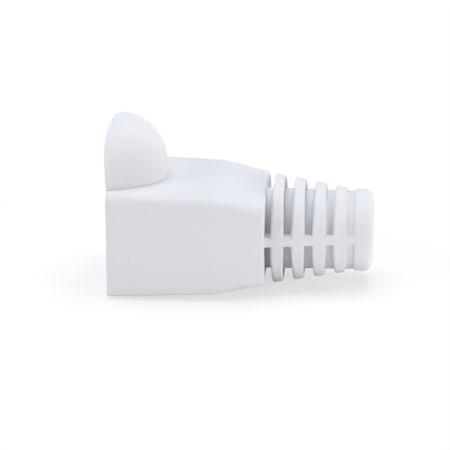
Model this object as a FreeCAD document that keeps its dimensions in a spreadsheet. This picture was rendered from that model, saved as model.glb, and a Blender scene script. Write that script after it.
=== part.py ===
"""RJ45 strain relief boot, moulded in one piece from soft PVC.

The boot slides up the cable and over the back of a modular plug. It has three regions:
  housing  a drafted box with the plug pocket, necked down behind the shoulder
  hood     a hollow hood over the plug's latch, open to the front
  barrel   a tapered tube with the cable bore, ringed by fins and tied by a rib on each side

Built along X from the mouth at X = 0, with the cable bore's axis on the X axis and the latch
side up (+Z). The body's Placement then puts the origin at the bore's rear opening.
"""
import FreeCAD, Part
import math
import os
import re
import Sketcher

# alias, value in millimetres or degrees, meaning
SIZES = [
    ("plug_width", 11.8, "plug pocket, width at the mouth"),
    ("plug_height", 8.1, "plug pocket, height at the mouth"),
    ("wall", 0.9, "housing wall at the mouth"),
    ("pocket_draft", 0.5, "draft of the plug pocket, each side"),
    ("pocket_round", 0.4, "plug pocket, corner radius"),
    ("bulkhead", 1.1, "wall between the plug pocket and the barrel"),
    ("housing_length", 14.35, "mouth to the housing's rear face"),
    ("shoulder_at", 9.8, "mouth to the shoulder, where the housing necks down"),
    ("axis_height", 4.87, "bore axis above the housing's underside at the mouth"),
    ("side_draft", 1.6, "draft of the sides before the shoulder"),
    ("top_draft", 1.4, "draft of the top before the shoulder"),
    ("base_draft", 2.25, "draft of the underside before the shoulder"),
    ("side_taper", 7.2, "slope of the sides behind the shoulder"),
    ("top_taper", 9.4, "slope of the top behind the shoulder"),
    ("base_taper", 7.5, "slope of the underside behind the shoulder"),
    ("top_round", 1.05, "radius of the top long edges at the mouth"),
    ("heel_top_round", 1.5, "radius of the top long edges at the rear face"),
    ("base_round", 0.3, "radius of the lower long edges"),
    ("heel_base_round", 1.1, "radius of the lower long edges at the rear face"),
    ("heel_round", 0.45, "radius round the rear face"),
    ("mouth_round", 0.2, "radius round the mouth's outer edge"),
    ("hood_tail", 4.91, "mouth to the hood's rounded tail"),
    ("hood_half", 6.31, "hood in plan, half-width of its ellipse"),
    ("hood_sweep", 8.73, "hood in plan, half-length of its ellipse"),
    ("hood_height", 5.62, "crown above the housing's top at the mouth"),
    ("hood_fullness", 0.97, "corner radius of the hood's arch, as a share of its size"),
    ("crown_at", 0.74, "mouth to the crown"),
    ("crown_fall", 4.36, "side profile behind the crown, half-length of its ellipse"),
    ("tail_side", 0.64, "height at which that ellipse is centred"),
    ("tail_angle", 84, "side profile, where the tail's blunt end starts"),
    ("tail_steps", 6, "arches from the crown to the tail"),
    ("lip_length", 1.09, "rounding of the crown towards the rim, length"),
    ("lip_drop", 1.25, "rounding of the crown towards the rim, drop"),
    ("lip_angle", 84, "part of that rounding that is used"),
    ("lip_steps", 4, "arches from the crown to the rim"),
    ("hood_wall", 1.35, "hood wall"),
    ("rim_lean", 4.7, "forward lean of the hood's open rim"),
    ("cable_bore", 5.5, "cable bore, diameter"),
    ("bore_lead", 0.3, "lead-in chamfer on the bore, plug side"),
    ("tube_wall", 0.9, "barrel wall at the collar"),
    ("tube_draft", 0.8, "draft of the barrel between the fins"),
    ("fin_count", 4, "number of fins"),
    ("first_gap", 0.505, "gap between the rear face and the first fin"),
    ("fin_pitch", 1.91, "fin spacing"),
    ("fin_thickness", 1.23, "fin thickness where it meets the ribs"),
    ("barrel_inset", 0.71, "fins' and ribs' common outline, inset from the rear face's sides"),
    ("window_draft", 2.0, "draft of the windows between the fins, from the ribs outwards"),
    ("fin_round", 0.2, "radius of the fins' outer edges"),
    ("collar_radius", 3.81, "collar at the barrel's end, radius"),
    ("collar_length", 1.675, "collar length"),
    ("collar_round", 0.8, "radius of the collar's rear edge"),
    ("collar_edge", 0.15, "radius of the collar's front edge"),
    ("rib_height", 0.85, "side rib, height"),
    ("rib_rise", 0.25, "side rib, centre above the bore axis"),
]

# Derived places, as expressions on the sheet
MOUTH_HALF = "(plug_width / 2 + wall)"
MOUTH_TOP = "(plug_height + 2 * wall - axis_height)"
MOUTH_BASE = "(-axis_height)"
SHOULDER_HALF = f"({MOUTH_HALF} - shoulder_at * tan(side_draft))"
SHOULDER_TOP = f"({MOUTH_TOP} - shoulder_at * tan(top_draft))"
SHOULDER_BASE = f"({MOUTH_BASE} + shoulder_at * tan(base_draft))"
NECK = "(housing_length - shoulder_at)"
HEEL_HALF = f"({SHOULDER_HALF} - {NECK} * tan(side_taper))"
HEEL_TOP = f"({SHOULDER_TOP} - {NECK} * tan(top_taper))"
HEEL_BASE = f"({SHOULDER_BASE} + {NECK} * tan(base_taper))"
POCKET_END = "(housing_length - bulkhead)"
POCKET_NARROWING = "(shoulder_at * tan(pocket_draft))"
FIN_START = "(housing_length + first_gap)"
COLLAR_AT = f"({FIN_START} + fin_count * fin_pitch)"
COLLAR_MIDDLE = f"({COLLAR_AT} + collar_length / 2)"
OVERALL = f"({COLLAR_AT} + collar_length)"
OUTLINE_RADIUS = f"({HEEL_HALF} - barrel_inset)"
OUTLINE_SLOPE = f"(({OUTLINE_RADIUS} - collar_radius) / ({COLLAR_AT} - housing_length))"
BORE_RADIUS = "(cable_bore / 2)"


def make_sheet(doc):
    """The driving dimensions, one row each."""
    sheet = doc.addObject("Spreadsheet::Sheet", "Sizes")
    for row, (alias, value, meaning) in enumerate(SIZES, start=1):
        sheet.set(f"A{row}", alias)
        sheet.set(f"B{row}", str(value))
        sheet.set(f"C{row}", meaning)
        sheet.setAlias(f"B{row}", alias)
    doc.recompute()
    return sheet


def on_sheet(text):
    """Expression text with each alias pointed at the sheet."""
    aliases = {alias for alias, _, _ in SIZES}
    return re.sub(r"[a-z_]+", lambda m: "Sizes." + m.group() if m.group() in aliases else m.group(), text)


def number(owner, text):
    """Present value of an expression on the sheet."""
    return float(owner.evalExpression(on_sheet(text)))


def bind(feature, **expressions):
    """Drive a feature's properties from the sheet."""
    for prop, text in expressions.items():
        feature.setExpression(prop.replace("__", "."), on_sheet(text))


def origin_plane(body, role):
    return next(item for item in body.Origin.OriginFeatures if item.Role == role)


class Outline:
    """A closed, fully constrained sketch through corners given counter-clockwise as expressions.

    A corner is (x, y) where it is sharp, or (x, y, radius) where a tangent arc rounds it.
    """

    def __init__(self, body, name, plane, corners, station="0"):
        self.sketch = body.newObject("Sketcher::SketchObject", name)
        self.sketch.AttachmentSupport = [(origin_plane(body, plane), "")]
        self.sketch.MapMode = "FlatFace"
        self.sketch.setExpression("AttachmentOffset.Base.z", on_sheet(station))
        self.corners = corners
        self.points = [FreeCAD.Vector(self.value(c[0]), self.value(c[1]), 0) for c in corners]
        self.arcs = {}
        self.draw_arcs()
        self.draw_lines()
        self.join_corners()

    def value(self, text):
        return number(self.sketch, text)

    def trimmed(self, index, towards):
        """Where the side from one corner towards another starts, past any rounding."""
        here = self.points[index]
        if len(self.corners[index]) == 2:
            return here
        before = (self.points[index - 1] - here).normalize()
        after = (self.points[(index + 1) % len(self.points)] - here).normalize()
        half_angle = before.getAngle(after) / 2
        setback = self.value(self.corners[index][2]) / math.tan(half_angle)
        return here + (self.points[towards] - here).normalize() * setback

    def draw_arcs(self):
        for index, corner in enumerate(self.corners):
            if len(corner) == 2:
                continue
            start = self.trimmed(index, index - 1)
            end = self.trimmed(index, (index + 1) % len(self.points))
            chord_middle = (start + end) / 2
            inward = (chord_middle - self.points[index]).normalize()
            radius = self.value(corner[2])
            half_chord = (end - start).Length / 2
            centre = chord_middle + inward * math.sqrt(max(radius ** 2 - half_chord ** 2, 0))
            arc = Part.Arc(start, centre - inward * radius, end)
            self.arcs[index] = self.sketch.addGeometry(arc, False)

    def draw_lines(self):
        count = len(self.points)
        self.lines = []
        for index in range(count):
            following = (index + 1) % count
            start = self.trimmed(index, following)
            end = self.trimmed(following, index)
            self.lines.append(self.sketch.addGeometry(Part.LineSegment(start, end), False))

    def join_corners(self):
        for index, corner in enumerate(self.corners):
            before, after = self.lines[index - 1], self.lines[index]
            if index in self.arcs:
                arc = self.arcs[index]
                apex = self.sketch.addGeometry(Part.Point(self.points[index]), True)
                self.constrain("Tangent", before, 2, arc, 1)
                self.constrain("Tangent", arc, 2, after, 1)
                self.constrain("PointOnObject", apex, 1, before)
                self.constrain("PointOnObject", apex, 1, after)
                self.place(apex, corner)
                self.drive("Radius", corner[2], arc)
            else:
                self.constrain("Coincident", before, 2, after, 1)
                self.place(after, corner)

    def place(self, geometry, corner):
        self.drive("DistanceX", corner[0], -1, 1, geometry, 1)
        self.drive("DistanceY", corner[1], -1, 1, geometry, 1)

    def constrain(self, kind, *where):
        return self.sketch.addConstraint(Sketcher.Constraint(kind, *where))

    def drive(self, kind, text, *where):
        index = self.constrain(kind, *where, self.value(text))
        self.sketch.setExpression(f"Constraints[{index}]", on_sheet(text))


def box_section(body, name, station, half, base, top, base_round, top_round):
    """A cross-section of the housing or its pocket: a box with rounded corners."""
    corners = [
        (f"-{half}", base, base_round),
        (half, base, base_round),
        (half, top, top_round),
        (f"-{half}", top, top_round),
    ]
    return Outline(body, name, "YZ_Plane", corners, station).sketch


def loft(body, kind, name, sections, ruled):
    feature = body.newObject(kind, name)
    feature.Profile = sections[0]
    feature.Sections = sections[1:]
    feature.Ruled = ruled
    return feature


def turned(body, kind, name, corners):
    """A revolution or groove of an XZ outline about the bore's axis."""
    sketch = Outline(body, name + "_profile", "XZ_Plane", corners).sketch
    feature = body.newObject(kind, name)
    feature.Profile = sketch
    feature.ReferenceAxis = (sketch, ["H_Axis"])
    feature.Angle = 360
    return feature


def cut_across(body, name, corners):
    """Cut away all that lies within an XZ outline, from side to side."""
    cut = body.newObject("PartDesign::Pocket", name)
    cut.Profile = Outline(body, name + "_profile", "XZ_Plane", corners).sketch
    cut.Midplane = True
    cut.Type = "Length"
    bind(cut, Length="2 * plug_width")
    return cut


def arch(body, name, station, height, inset, base):
    """An arch across the hood, with upright sides and a rounded crown."""
    half = (f"((hood_half - {inset})"
            f" * sqrt(1 - (({station} - hood_tail + hood_sweep) / (hood_sweep - {inset})) ^ 2))")
    top = f"({MOUTH_TOP} + {height})"
    corner = f"(hood_fullness * min({half}; {height}))"
    corners = [(f"-{half}", base), (half, base), (half, top, corner), (f"-{half}", top, corner)]
    return Outline(body, name, "YZ_Plane", corners, station).sketch


def rear_arches(body, name, inset, base):
    """Arches from the crown back to the tail, closer together where the tail turns down."""
    arches = []
    for index in range(int(number(body, "tail_steps")) + 1):
        turn = f"(tail_angle * {index} / tail_steps)"
        station = f"(crown_at + (hood_tail - {inset} - crown_at) * sin({turn}))"
        height = (f"(tail_side + (hood_height - tail_side - {inset})"
                  f" * sqrt(1 - (({station} - crown_at) / (crown_fall - {inset})) ^ 2))")
        arches.append(arch(body, f"{name}_{index}", station, height, inset, base))
    return arches


def lip_arches(body, name, base):
    """Arches from the rim back towards the crown, which is rounded over at the rim."""
    arches = []
    for index in range(int(number(body, "lip_steps")), 0, -1):
        turn = f"(lip_angle * {index} / lip_steps)"
        station = f"(crown_at - lip_length * sin({turn}))"
        height = f"(hood_height - lip_drop * (1 - cos({turn})))"
        arches.append(arch(body, f"{name}_{index}", station, height, "0", base))
    return arches


def add_hood(doc, body):
    """The hood over the plug's latch, seated in the housing's top wall and cut to its rim."""
    seat = f"({MOUTH_TOP} - wall / 2)"
    arches = lip_arches(body, "hood_lip", seat) + rear_arches(body, "hood_arch", "0", seat)
    loft(body, "PartDesign::AdditiveLoft", "hood", arches, False)
    doc.recompute()
    reach = "(2 * hood_height)"
    corners = [
        (f"-{reach}", f"{MOUTH_TOP} - {reach}"),
        ("0", f"{MOUTH_TOP} - {reach}"),
        ("0", MOUTH_TOP),
        (f"(-{reach} * tan(rim_lean))", f"{MOUTH_TOP} + {reach}"),
        (f"-{reach}", f"{MOUTH_TOP} + {reach}"),
    ]
    cut_across(body, "hood_rim", corners)
    doc.recompute()


def add_housing(doc, body):
    """Drafted box, necked down behind the shoulder, with a rounded rear face."""
    sections = [
        box_section(body, "mouth_outline", "0", MOUTH_HALF, MOUTH_BASE, MOUTH_TOP,
                    "base_round", "top_round"),
        box_section(body, "shoulder_outline", "shoulder_at", SHOULDER_HALF, SHOULDER_BASE,
                    SHOULDER_TOP, "base_round", "top_round"),
        box_section(body, "heel_outline", "housing_length", HEEL_HALF, HEEL_BASE, HEEL_TOP,
                    "heel_base_round", "heel_top_round"),
    ]
    housing = loft(body, "PartDesign::AdditiveLoft", "housing", sections, True)
    doc.recompute()
    heel_rounding = round_end(body, "heel_rounding", housing, "housing_length", "heel_round")
    doc.recompute()
    round_end(body, "mouth_rounding", heel_rounding, "0", "mouth_round")
    doc.recompute()


def round_end(body, name, feature, station, radius):
    """Round the outer edges of the housing's end face at a distance from the mouth."""
    end_x = number(body, station)
    faces = [face for face in feature.Shape.Faces
             if abs(face.BoundBox.XMin - end_x) < 1e-4 and abs(face.BoundBox.XMax - end_x) < 1e-4]
    outline = max(faces, key=lambda face: face.Area).OuterWire.Edges
    edges = [f"Edge{i}" for i, edge in enumerate(feature.Shape.Edges, start=1)
             if any(edge.isSame(side) for side in outline)]
    rounding = body.newObject("PartDesign::Fillet", name)
    rounding.Base = (feature, edges)
    bind(rounding, Radius=radius)
    return rounding


def barrel_outline(station):
    """Radius of the barrel's outline, which tapers from the rear face to the collar."""
    return f"({OUTLINE_RADIUS} - ({station} - housing_length) * {OUTLINE_SLOPE})"


def window(body, name, front, rear, side):
    """Cut a gap beside a fin, above or below the ribs, growing wider away from them."""
    ribs_edge = f"(rib_rise {side} rib_height / 2)"
    reach = f"(2 * {OUTLINE_RADIUS})"
    far = f"({ribs_edge} {side} {reach})"
    flare = f"({reach} * tan(window_draft))"
    corners = [(front, ribs_edge), (rear, ribs_edge), (f"({rear} + {flare})", far),
               (f"({front} - {flare})", far)]
    if side == "-":
        corners.reverse()
    return cut_across(body, name, corners)


def add_fins(doc, body):
    """The barrel's tapered outline with windows cut in it, which leaves the fins and side ribs."""
    turned(body, "PartDesign::Revolution", "barrel_blank", [
        (POCKET_END, "0"), (COLLAR_MIDDLE, "0"), (COLLAR_MIDDLE, barrel_outline(COLLAR_MIDDLE)),
        (POCKET_END, barrel_outline(POCKET_END))])
    doc.recompute()
    window(body, "first_upper_window", POCKET_END, FIN_START, "+")
    window(body, "first_lower_window", POCKET_END, FIN_START, "-")
    front = f"({FIN_START} + fin_thickness)"
    rear = f"({FIN_START} + fin_pitch)"
    upper = window(body, "upper_window", front, rear, "+")
    lower = window(body, "lower_window", front, rear, "-")
    doc.recompute()
    windows = body.newObject("PartDesign::LinearPattern", "windows")
    windows.Originals = [upper, lower]
    windows.Direction = (origin_plane(body, "X_Axis"), [""])
    bind(windows, Length="(fin_count - 1) * fin_pitch", Occurrences="fin_count")
    body.Tip = windows
    doc.recompute()
    crowns = [f"Edge{i}" for i, edge in enumerate(windows.Shape.Edges, start=1)
              if on_crown(body, edge)]
    rounding = body.newObject("PartDesign::Fillet", "crown_rounding")
    rounding.Base = (windows, crowns)
    bind(rounding, Radius="fin_round")
    doc.recompute()


def on_crown(body, edge):
    """True for an edge round a fin that lies on the barrel's tapered outline."""
    if edge.BoundBox.ZLength < number(body, "rib_height"):
        return False
    start = number(body, "housing_length")
    radius = number(body, OUTLINE_RADIUS)
    slope = number(body, OUTLINE_SLOPE)
    for share in (0.1, 0.3, 0.5, 0.7, 0.9):
        along = edge.FirstParameter + share * (edge.LastParameter - edge.FirstParameter)
        point = edge.valueAt(along)
        if abs(math.hypot(point.y, point.z) - radius + (point.x - start) * slope) > 1e-4:
            return False
    return True


def add_barrel(doc, body):
    """Tapered tube inside the fins, with a collar at its end."""
    tube_radius = f"({BORE_RADIUS} + tube_wall)"
    root = f"({tube_radius} + ({COLLAR_AT} - {POCKET_END}) * tan(tube_draft))"
    turned(body, "PartDesign::Revolution", "tube", [
        (POCKET_END, "0"), (COLLAR_MIDDLE, "0"), (COLLAR_MIDDLE, tube_radius),
        (COLLAR_AT, tube_radius), (POCKET_END, root)])
    turned(body, "PartDesign::Revolution", "collar", [
        (COLLAR_AT, "0"), (OVERALL, "0"), (OVERALL, "collar_radius", "collar_round"),
        (COLLAR_AT, "collar_radius", "collar_edge")])
    doc.recompute()


def cut_pocket(doc, body):
    """Plug pocket, open at the mouth, with a funnel behind the shoulder."""
    pocket_half = f"({MOUTH_HALF} - wall)"
    pocket_base = f"({MOUTH_BASE} + wall)"
    pocket_top = f"({MOUTH_TOP} - wall)"
    end_ratio = f"(({POCKET_END} - shoulder_at) / {NECK})"
    end_half = f"({SHOULDER_HALF} + ({HEEL_HALF} - {SHOULDER_HALF}) * {end_ratio} - wall)"
    end_base = f"({SHOULDER_BASE} + ({HEEL_BASE} - {SHOULDER_BASE}) * {end_ratio} + wall)"
    end_top = f"({SHOULDER_TOP} + ({HEEL_TOP} - {SHOULDER_TOP}) * {end_ratio} - wall)"
    rounds = ("pocket_round", "pocket_round")
    sections = [
        box_section(body, "pocket_mouth", "0", pocket_half, pocket_base, pocket_top, *rounds),
        box_section(body, "pocket_shoulder", "shoulder_at", f"({pocket_half} - {POCKET_NARROWING})",
                    f"({pocket_base} + {POCKET_NARROWING})", f"({pocket_top} - {POCKET_NARROWING})",
                    *rounds),
        box_section(body, "pocket_end", POCKET_END, end_half, end_base, end_top, *rounds),
    ]
    loft(body, "PartDesign::SubtractiveLoft", "plug_pocket", sections, True)
    doc.recompute()


def cut_hood(doc, body):
    """The hood's inside, which opens through the top wall into the plug pocket for the latch."""
    base = f"({MOUTH_TOP} - 1.5 * wall)"
    crown = "(hood_height - hood_wall)"
    ahead = "(-hood_height)"
    arches = [arch(body, f"latch_rim_{index}", f"({ahead} / {index})", crown, "hood_wall", base)
              for index in (2, 5)]
    arches += rear_arches(body, "latch_arch", "hood_wall", base)
    loft(body, "PartDesign::SubtractiveLoft", "latch_space", arches, False)
    doc.recompute()


def cut_bore(doc, body):
    """Cable bore from the plug pocket to the collar, with a lead-in on the plug's side."""
    turned(body, "PartDesign::Groove", "bore", [
        (POCKET_END, "0"), (OVERALL, "0"), (OVERALL, BORE_RADIUS),
        (f"({POCKET_END} + bore_lead)", BORE_RADIUS), (POCKET_END, f"{BORE_RADIUS} + bore_lead")])
    doc.recompute()


def add_step(doc, body, step, sign):
    """Run one step and make sure that it added or removed material."""
    before = body.Shape.Volume if body.Tip else 0.0
    step(doc, body)
    doc.recompute()
    change = (body.Shape.Volume - before) * sign
    if change <= 0:
        raise RuntimeError(f"{step.__name__} changed the volume the wrong way: {change:.3f}")


def check(doc, body):
    for item in doc.Objects:
        if {"Invalid", "Error"} & set(item.State):
            raise RuntimeError(f"{item.Name} failed: {item.State}")
    if body.Shape.isNull() or not body.Shape.isValid():
        raise RuntimeError(f"{body.Label} has no valid shape")
    if len(body.Shape.Solids) != 1:
        raise RuntimeError(f"{body.Label} has {len(body.Shape.Solids)} solids")


def main():
    doc = FreeCAD.newDocument("strain_relief_boot")
    make_sheet(doc)
    body = doc.addObject("PartDesign::Body", "Boot")
    body.Label = "boot"
    bind(body, Placement__Base__x=f"-{OVERALL}")
    add_step(doc, body, add_fins, 1)
    add_step(doc, body, add_housing, 1)
    add_step(doc, body, add_hood, 1)
    add_step(doc, body, add_barrel, 1)
    add_step(doc, body, cut_pocket, -1)
    add_step(doc, body, cut_hood, -1)
    add_step(doc, body, cut_bore, -1)
    check(doc, body)
    os.makedirs("parts", exist_ok=True)
    body.Shape.exportStep(f"parts/{body.Label}.step")
    box = body.Shape.optimalBoundingBox()
    print(f"{body.Label}: {box.XLength:.2f} x {box.YLength:.2f} x {box.ZLength:.2f} mm,"
          f" {body.Shape.Volume:.1f} mm3")


main()
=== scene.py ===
"""Dresses the RJ45 strain relief boot in moulded soft PVC and sets it on a pale studio floor.

The boot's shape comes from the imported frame. This file adds its finish, the stage and the camera.
"""
import bmesh
import bpy
import math
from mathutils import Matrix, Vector


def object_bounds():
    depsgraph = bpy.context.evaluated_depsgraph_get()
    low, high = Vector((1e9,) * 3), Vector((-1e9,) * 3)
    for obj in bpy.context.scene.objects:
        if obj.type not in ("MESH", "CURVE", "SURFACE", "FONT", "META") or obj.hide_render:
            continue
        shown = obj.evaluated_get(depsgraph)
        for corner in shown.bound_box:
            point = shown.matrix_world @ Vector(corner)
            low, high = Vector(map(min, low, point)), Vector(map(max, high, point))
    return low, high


bl_info = {
    "name": "Strain relief boot studio",
    "version": (1, 0, 0),
    "blender": (4, 5, 0),
    "location": "3D View > Sidebar > Boot",
    "description": "Moulded PVC finish, stage and camera for an RJ45 strain relief boot",
    "category": "Object",
}

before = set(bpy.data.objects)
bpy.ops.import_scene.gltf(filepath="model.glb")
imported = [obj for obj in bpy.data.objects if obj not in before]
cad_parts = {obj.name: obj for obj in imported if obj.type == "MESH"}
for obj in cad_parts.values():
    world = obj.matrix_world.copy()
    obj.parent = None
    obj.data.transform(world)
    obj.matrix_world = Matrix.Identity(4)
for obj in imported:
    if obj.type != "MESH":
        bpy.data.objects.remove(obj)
CAD_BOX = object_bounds()
MIDDLE = (CAD_BOX[0] + CAD_BOX[1]) / 2
WHITE = (1, 1, 1, 1)
WHITE_STRENGTH = 1.0  # a light of this strength is seen as plain white
NOISE_MIDDLE = 0.5  # noise runs from 0 to 1 about this value
EDGE_SAMPLES = 8  # rays that find each softened edge
FLOOR_SIDES = 96
SENSOR_WIDTH = 36  # in mm
NEAREST, FARTHEST = 0.001, 20  # how near and how far the camera sees, in metres

# name, settings that hold its power and tint, offset from the boot's middle, width and height
LAMPS = [
    ("top_lamp", "top_power", "top_tint", (0, 0.03, 0.215), (0.2, 0.17)),
    ("left_lamp", "left_power", "left_tint", (-0.20, -0.12, 0.07), (0.08, 0.2)),
    ("right_lamp", "right_power", "right_tint", (0.20, -0.12, 0.025), (0.08, 0.1)),
    ("back_left_lamp", "back_power", "back_tint", (-0.20, 0.12, 0.07), (0.08, 0.2)),
    ("back_right_lamp", "back_power", "back_tint", (0.20, 0.12, 0.07), (0.08, 0.2)),
]


# ---------------------------------------------------------------- shader maths

class Value:
    """A node socket that takes part in Python expressions, adding the Math nodes they need."""

    def __init__(self, nodes, socket):
        self.nodes = nodes
        self.socket = socket

    def math(self, operation, *operands):
        inputs = dict(enumerate(operands))
        return self.nodes.add("ShaderNodeMath", {"operation": operation}, inputs)

    def __add__(self, other):
        return self.math("ADD", self, other)

    def __radd__(self, other):
        return self.math("ADD", other, self)

    def __sub__(self, other):
        return self.math("SUBTRACT", self, other)

    def __rsub__(self, other):
        return self.math("SUBTRACT", other, self)

    def __mul__(self, other):
        return self.math("MULTIPLY", self, other)

    def __rmul__(self, other):
        return self.math("MULTIPLY", other, self)


class Nodes:
    """A material's or the world's node tree, emptied and ready to fill."""

    def __init__(self, owner):
        owner.use_nodes = True
        self.tree = owner.node_tree
        self.tree.nodes.clear()

    def add(self, kind, settings=None, inputs=None, output=0):
        """Add a node: its settings first, then the values or links of its sockets."""
        node = self.tree.nodes.new(kind)
        for name, value in (settings or {}).items():
            setattr(node, name, value)
        for name, value in (inputs or {}).items():
            self.feed(node.inputs[name], value)
        return Value(self, node.outputs[output]) if len(node.outputs) else node

    def feed(self, socket, value):
        if isinstance(value, Value):
            self.tree.links.new(value.socket, socket)
        else:
            socket.default_value = value

    def tinted(self, factor, low, high):
        """A colour between two colours, each a plain tint or another Value."""
        colours = [end if isinstance(end, Value) else (*end, 1) for end in (low, high)]
        return self.add("ShaderNodeMix", {"data_type": "RGBA", "blend_type": "MIX"},
                        {0: factor, 6: colours[0], 7: colours[1]}, output=2)

    def noise(self, place, size, detail, roughness=0.5):
        """Noise whose blobs are about the given size in metres."""
        return self.add("ShaderNodeTexNoise", {"noise_dimensions": "3D"}, {
            "Vector": place, "Scale": 1 / size, "Detail": detail, "Roughness": roughness})


# ---------------------------------------------------------------- settings

class BootFinish(bpy.types.PropertyGroup):
    """The soft PVC that the boot is moulded in."""
    tint: bpy.props.FloatVectorProperty(
        name="Tint", description="Colour of the PVC", subtype="COLOR", size=3,
        min=0, max=1, default=(0.690, 0.703, 0.735))
    warm_tint: bpy.props.FloatVectorProperty(
        name="Warm tint", description="Colour in the faint clouds of the compound",
        subtype="COLOR", size=3, min=0, max=1, default=(0.710, 0.715, 0.730))
    cloud_size: bpy.props.FloatProperty(
        name="Cloud size", description="Size of the faint clouds of colour", unit="LENGTH",
        min=0.0005, default=0.004)
    mottle_size: bpy.props.FloatProperty(
        name="Mottle size", description="Size of the fine mottling of the compound",
        unit="LENGTH", min=0.0001, default=0.0004)
    cloud_share: bpy.props.FloatProperty(
        name="Cloud share", description="Share of the clouds, next to the mottling",
        subtype="FACTOR", min=0, max=1, default=0.5)
    mottle_contrast: bpy.props.FloatProperty(
        name="Mottle contrast", description="Strength of the clouds and the mottling",
        min=0, default=1.8)
    speck_tint: bpy.props.FloatVectorProperty(
        name="Speck tint", description="Colour of the few specks in the compound",
        subtype="COLOR", size=3, min=0, max=1, default=(0.50, 0.505, 0.54))
    speck_spacing: bpy.props.FloatProperty(
        name="Speck spacing", description="Spacing of the places where a speck may lie",
        unit="LENGTH", min=0.0002, default=0.0013)
    speck_radius: bpy.props.FloatProperty(
        name="Speck radius", description="Radius of a speck", unit="LENGTH",
        min=0, default=0.00007)
    speck_core: bpy.props.FloatProperty(
        name="Speck core", description="Share of that radius that has the full colour",
        subtype="FACTOR", min=0, max=1, default=0.5)
    speck_raggedness: bpy.props.FloatProperty(
        name="Speck raggedness", description="How uneven a speck's outline is", unit="LENGTH",
        min=0, default=0.00015)
    speck_share: bpy.props.FloatProperty(
        name="Speck share", description="Share of those places that hold a speck",
        subtype="FACTOR", min=0, max=1, default=0.45)
    satin: bpy.props.FloatProperty(
        name="Satin", description="Roughness of the moulded surface", subtype="FACTOR",
        min=0, max=1, default=0.62)
    satin_spread: bpy.props.FloatProperty(
        name="Satin spread", description="How far the roughness varies over the surface",
        subtype="FACTOR", min=0, max=1, default=0.12)
    grain_size: bpy.props.FloatProperty(
        name="Grain size", description="Size of the mould's fine grain", unit="LENGTH",
        min=0.00005, default=0.00024)
    grain_depth: bpy.props.FloatProperty(
        name="Grain depth", description="Depth of the mould's fine grain", unit="LENGTH",
        min=0, default=0.000014)
    flow_size: bpy.props.FloatProperty(
        name="Flow size", description="Size of the shallow waves left by the flowing melt",
        unit="LENGTH", min=0.0002, default=0.0022)
    flow_depth: bpy.props.FloatProperty(
        name="Flow depth", description="Depth of the waves left by the flowing melt",
        unit="LENGTH", min=0, default=0.00001)
    edge_softness: bpy.props.FloatProperty(
        name="Edge softness", description="Radius of the small rounding left on sharp edges",
        unit="LENGTH", min=0, default=0.00016)
    softness: bpy.props.FloatProperty(
        name="Softness", description="Share of light that spreads below the surface",
        subtype="FACTOR", min=0, max=1, default=0.05)
    softness_depth: bpy.props.FloatProperty(
        name="Softness depth", description="How deep that light spreads", unit="LENGTH",
        min=0, default=0.0004)
    softness_spread: bpy.props.FloatVectorProperty(
        name="Softness spread", description="Share of that depth for red, green and blue",
        size=3, min=0, max=1, default=(1.0, 0.9, 0.8))
    gloss_ior: bpy.props.FloatProperty(
        name="Gloss IOR", description="Index of refraction of the surface", min=1, default=1.45)
    gloss_level: bpy.props.FloatProperty(
        name="Gloss level", description="Strength of the surface's reflection", subtype="FACTOR",
        min=0, max=1, default=0.35)


class StudioSettings(bpy.types.PropertyGroup):
    """The floor, the room's light and the soft lamps."""
    floor_tint: bpy.props.FloatVectorProperty(
        name="Floor tint", description="Colour of the floor", subtype="COLOR", size=3,
        min=0, max=1, default=(0.94, 0.94, 0.94))
    fibre_size: bpy.props.FloatProperty(
        name="Fibre size", description="Size of the paper's faint fibres", unit="LENGTH",
        min=0.0001, default=0.0006)
    fibre_tone: bpy.props.FloatProperty(
        name="Fibre tone", description="Darker fibres' colour as a share of the floor's",
        subtype="FACTOR", min=0, max=1, default=0.99)
    floor_radius: bpy.props.FloatProperty(
        name="Floor radius", description="Radius of the floor", unit="LENGTH",
        min=0.1, default=1.6)
    floor_glow: bpy.props.FloatProperty(
        name="Floor glow", subtype="FACTOR", min=0, max=1, default=0.62,
        description="Share of plain white in the floor as seen next to the boot")
    glow_start: bpy.props.FloatProperty(
        name="Glow start", description="Distance from the middle where the floor turns whiter",
        unit="LENGTH", min=0, default=0.010)
    glow_end: bpy.props.FloatProperty(
        name="Glow end", description="Distance from the middle where the floor is plain white",
        unit="LENGTH", min=0, default=0.034)
    room_light: bpy.props.FloatProperty(
        name="Room light", description="Level of the light from all round", min=0, default=0.10)
    top_power: bpy.props.FloatProperty(
        name="Top lamp", description="Power of the lamp overhead", unit="POWER",
        min=0, default=0.45)
    top_tint: bpy.props.FloatVectorProperty(
        name="Top lamp tint", description="Colour of the lamp overhead", subtype="COLOR", size=3,
        min=0, max=1, default=(0.912, 0.942, 1.0))
    left_power: bpy.props.FloatProperty(
        name="Left lamp", description="Power of the lamp on the mouth's side", unit="POWER",
        min=0, default=0.31)
    left_tint: bpy.props.FloatVectorProperty(
        name="Left lamp tint", description="Colour of the lamp on the mouth's side",
        subtype="COLOR", size=3, min=0, max=1, default=(0.88, 0.885, 0.92))
    right_power: bpy.props.FloatProperty(
        name="Right lamp", description="Power of the lamp on the cable's side", unit="POWER",
        min=0, default=0.335)
    right_tint: bpy.props.FloatVectorProperty(
        name="Right lamp tint", description="Colour of the lamp on the cable's side",
        subtype="COLOR", size=3, min=0, max=1, default=(1.0, 0.955, 0.915))
    back_power: bpy.props.FloatProperty(
        name="Back lamps", description="Power of each lamp behind the boot", unit="POWER",
        min=0, default=0.11)
    back_tint: bpy.props.FloatVectorProperty(
        name="Back lamps tint", description="Colour of the lamps behind the boot",
        subtype="COLOR", size=3, min=0, max=1, default=(1.0, 1.0, 1.0))


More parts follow.
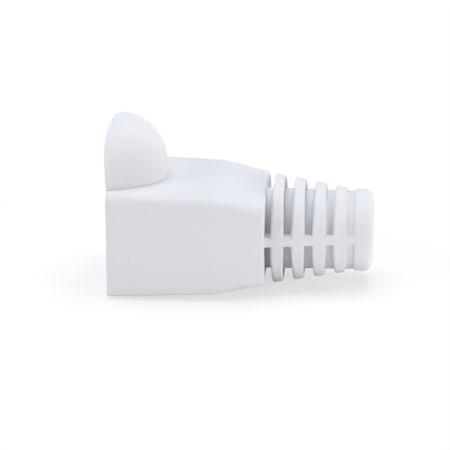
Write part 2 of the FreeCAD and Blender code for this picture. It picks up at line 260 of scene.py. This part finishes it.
class CameraSettings(bpy.types.PropertyGroup):
    """Where the camera stands and how it looks."""
    place: bpy.props.FloatVectorProperty(
        name="Place", description="Where the camera stands", subtype="TRANSLATION", unit="LENGTH",
        size=3, default=(0.001329, -0.186247, 0.063338))
    pitch: bpy.props.FloatProperty(
        name="Pitch", description="How far the camera looks down", subtype="ANGLE",
        default=math.radians(18.69))
    yaw: bpy.props.FloatProperty(
        name="Yaw", description="How far the camera turns towards the mouth", subtype="ANGLE",
        default=math.radians(4.65))
    lens: bpy.props.FloatProperty(
        name="Lens", description="Focal length", unit="CAMERA", min=10, default=168.49)


# ---------------------------------------------------------------- finish

def specks(nodes, place, grain, finish):
    """1 on the few small specks in the compound, 0 elsewhere."""
    cells = {"Vector": place, "Scale": 1 / finish.speck_spacing}
    distance = nodes.add("ShaderNodeTexVoronoi", {"feature": "F1"}, cells)
    centre = nodes.add("ShaderNodeTexVoronoi", {"feature": "F1"}, cells, output="Position")
    lot = nodes.add("ShaderNodeTexWhiteNoise", {"noise_dimensions": "3D"}, {"Vector": centre})
    edge = finish.speck_radius / finish.speck_spacing
    ragged = (grain - NOISE_MIDDLE) * (finish.speck_raggedness / finish.speck_spacing)
    inside = nodes.add("ShaderNodeMapRange", {"interpolation_type": "SMOOTHSTEP"}, {
        "Value": distance + ragged, "From Min": finish.speck_core * edge, "From Max": edge,
        "To Min": 1.0, "To Max": 0.0})
    return inside * lot.math("LESS_THAN", lot, finish.speck_share)


def moulded_pvc(finish):
    """Satin soft PVC: fine grain, shallow flow waves, faint clouds and mottling, a few specks."""
    material = bpy.data.materials.new("soft_pvc")
    nodes = Nodes(material)
    place = nodes.add("ShaderNodeTexCoord", output="Object")
    clouds = nodes.noise(place, finish.cloud_size, detail=3)
    mottle = nodes.noise(place, finish.mottle_size, detail=1)
    grain = nodes.noise(place, finish.grain_size, detail=2, roughness=0.6)
    flow = nodes.noise(place, finish.flow_size, detail=1)

    blend = finish.cloud_share * clouds + (1 - finish.cloud_share) * mottle
    patches = NOISE_MIDDLE + (blend - NOISE_MIDDLE) * finish.mottle_contrast
    compound = nodes.tinted(patches, finish.tint, finish.warm_tint)
    colour = nodes.tinted(specks(nodes, place, grain, finish), compound, finish.speck_tint)
    unevenness = (clouds - NOISE_MIDDLE) + (grain - NOISE_MIDDLE)
    roughness = finish.satin + unevenness * finish.satin_spread

    edges = nodes.add("ShaderNodeBevel", {"samples": EDGE_SAMPLES},
                      {"Radius": finish.edge_softness})
    waves = nodes.add("ShaderNodeBump", None,
                      {"Distance": finish.flow_depth, "Height": flow, "Normal": edges})
    relief = nodes.add("ShaderNodeBump", None,
                       {"Distance": finish.grain_depth, "Height": grain, "Normal": waves})
    surface = nodes.add("ShaderNodeBsdfPrincipled", {"subsurface_method": "BURLEY"}, {
        "Base Color": colour,
        "Roughness": roughness,
        "IOR": finish.gloss_ior,
        "Specular IOR Level": finish.gloss_level,
        "Normal": relief,
        "Subsurface Weight": finish.softness,
        "Subsurface Radius": finish.softness_spread,
        "Subsurface Scale": finish.softness_depth,
    })
    nodes.add("ShaderNodeOutputMaterial", None, {"Surface": surface})
    return material


class BOOT_OT_finish(bpy.types.Operator):
    """Give the moulded boot its PVC finish"""
    bl_idname = "boot.finish"
    bl_label = "Moulded Boot"

    def execute(self, context):
        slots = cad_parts["boot"].material_slots
        if not slots:
            raise RuntimeError("the boot has no material slot")
        material = moulded_pvc(context.scene.boot_finish)
        for slot in slots:
            slot.material = material
        return {"FINISHED"}


# ---------------------------------------------------------------- stage

def seen_directly(nodes):
    """1 for rays from the camera, a mirror or glass, 0 for light that falls on things."""
    camera, glossy, through = (nodes.add("ShaderNodeLightPath", output=f"Is {kind} Ray")
                               for kind in ("Camera", "Glossy", "Transmission"))
    return camera + glossy + through


def floor_finish(studio):
    """Pale matt paper that turns plain white away from the boot and keeps its shadow."""
    material = bpy.data.materials.new("floor_paper")
    nodes = Nodes(material)
    place = nodes.add("ShaderNodeTexCoord", output="Object")
    fibre = nodes.noise(place, studio.fibre_size, detail=3)
    darker = [studio.fibre_tone * channel for channel in studio.floor_tint]
    paper = nodes.add("ShaderNodeBsdfPrincipled", None, {
        "Base Color": nodes.tinted(fibre, darker, studio.floor_tint),
        "Roughness": 1.0,
        "Specular IOR Level": 0.0,
    })
    glow = nodes.add("ShaderNodeEmission", None, {"Color": WHITE, "Strength": WHITE_STRENGTH})
    distance = nodes.add("ShaderNodeVectorMath", {"operation": "LENGTH"}, {0: place},
                         output="Value")
    whiteness = nodes.add("ShaderNodeMapRange", {"interpolation_type": "SMOOTHSTEP"}, {
        "Value": distance, "From Min": studio.glow_start, "From Max": studio.glow_end,
        "To Min": studio.floor_glow, "To Max": 1.0})
    seen = nodes.add("ShaderNodeMixShader", None,
                     {0: seen_directly(nodes) * whiteness, 1: paper, 2: glow})
    nodes.add("ShaderNodeOutputMaterial", None, {"Surface": seen})
    return material


def make_floor(studio):
    """A round floor under the boot's lowest point."""
    mesh = bpy.data.meshes.new("floor")
    shape = bmesh.new()
    bmesh.ops.create_circle(shape, cap_ends=True, segments=FLOOR_SIDES,
                            radius=studio.floor_radius)
    shape.to_mesh(mesh)
    shape.free()
    floor = bpy.data.objects.new("floor", mesh)
    floor.location = (MIDDLE.x, MIDDLE.y, CAD_BOX[0].z)
    floor.data.materials.append(floor_finish(studio))
    bpy.context.scene.collection.objects.link(floor)


def make_room(studio):
    """Plain white all round as it is seen, and a weak even light on the boot."""
    world = bpy.data.worlds.new("studio_room")
    bpy.context.scene.world = world
    nodes = Nodes(world)
    lit = nodes.add("ShaderNodeBackground", None,
                    {"Color": WHITE, "Strength": studio.room_light})
    white = nodes.add("ShaderNodeBackground", None,
                      {"Color": WHITE, "Strength": WHITE_STRENGTH})
    seen = nodes.add("ShaderNodeMixShader", None, {0: seen_directly(nodes), 1: lit, 2: white})
    nodes.add("ShaderNodeOutputWorld", None, {"Surface": seen})


def make_lamp(name, power, tint, offset, size):
    """A soft box, set off from the boot's middle and facing it."""
    light = bpy.data.lights.new(name, "AREA")
    light.color = tint
    light.shape = "RECTANGLE"
    light.size, light.size_y = size
    light.energy = power
    lamp = bpy.data.objects.new(name, light)
    lamp.location = MIDDLE + Vector(offset)
    lamp.rotation_euler = (-Vector(offset)).to_track_quat("-Z", "Y").to_euler()
    bpy.context.scene.collection.objects.link(lamp)


class BOOT_OT_stage(bpy.types.Operator):
    """Set out the floor, the room's light and the soft lamps"""
    bl_idname = "boot.stage"
    bl_label = "Stage"

    def execute(self, context):
        studio = context.scene.boot_studio
        make_floor(studio)
        make_room(studio)
        for name, power, tint, offset, size in LAMPS:
            make_lamp(name, getattr(studio, power), getattr(studio, tint), offset, size)
        context.scene.view_settings.view_transform = "Standard"
        return {"FINISHED"}


class BOOT_OT_camera(bpy.types.Operator):
    """Stand the camera in front of the boot, a little above it"""
    bl_idname = "boot.camera"
    bl_label = "Camera"

    def execute(self, context):
        settings = context.scene.boot_camera
        data = bpy.data.cameras.new("camera")
        data.lens = settings.lens
        data.sensor_width = SENSOR_WIDTH
        data.clip_start = NEAREST
        data.clip_end = FARTHEST
        camera = bpy.data.objects.new("camera", data)
        camera.location = settings.place
        camera.rotation_euler = (math.pi / 2 - settings.pitch, 0, settings.yaw)
        context.scene.collection.objects.link(camera)
        context.scene.camera = camera
        return {"FINISHED"}


# ---------------------------------------------------------------- add-on

class BOOT_PT_panel(bpy.types.Panel):
    """The boot's settings and steps"""
    bl_idname = "BOOT_PT_panel"
    bl_label = "Strain Relief Boot"
    bl_space_type = "VIEW_3D"
    bl_region_type = "UI"
    bl_category = "Boot"

    def draw(self, context):
        for group, operator in STEPS:
            box = self.layout.box()
            settings = getattr(context.scene, group)
            for name in settings.__annotations__:
                box.prop(settings, name)
            box.operator(operator.bl_idname)


SETTINGS = {
    "boot_finish": BootFinish,
    "boot_studio": StudioSettings,
    "boot_camera": CameraSettings,
}
STEPS = [
    ("boot_finish", BOOT_OT_finish),
    ("boot_studio", BOOT_OT_stage),
    ("boot_camera", BOOT_OT_camera),
]
CLASSES = [*SETTINGS.values(), *(operator for _, operator in STEPS), BOOT_PT_panel]


def register():
    for item in CLASSES:
        bpy.utils.register_class(item)
    for name, group in SETTINGS.items():
        setattr(bpy.types.Scene, name, bpy.props.PointerProperty(type=group))


def unregister():
    for name in SETTINGS:
        delattr(bpy.types.Scene, name)
    for item in reversed(CLASSES):
        bpy.utils.unregister_class(item)


def main():
    register()
    bpy.ops.boot.finish()
    bpy.ops.boot.stage()
    bpy.ops.boot.camera()


if __name__ == "__main__":
    main()
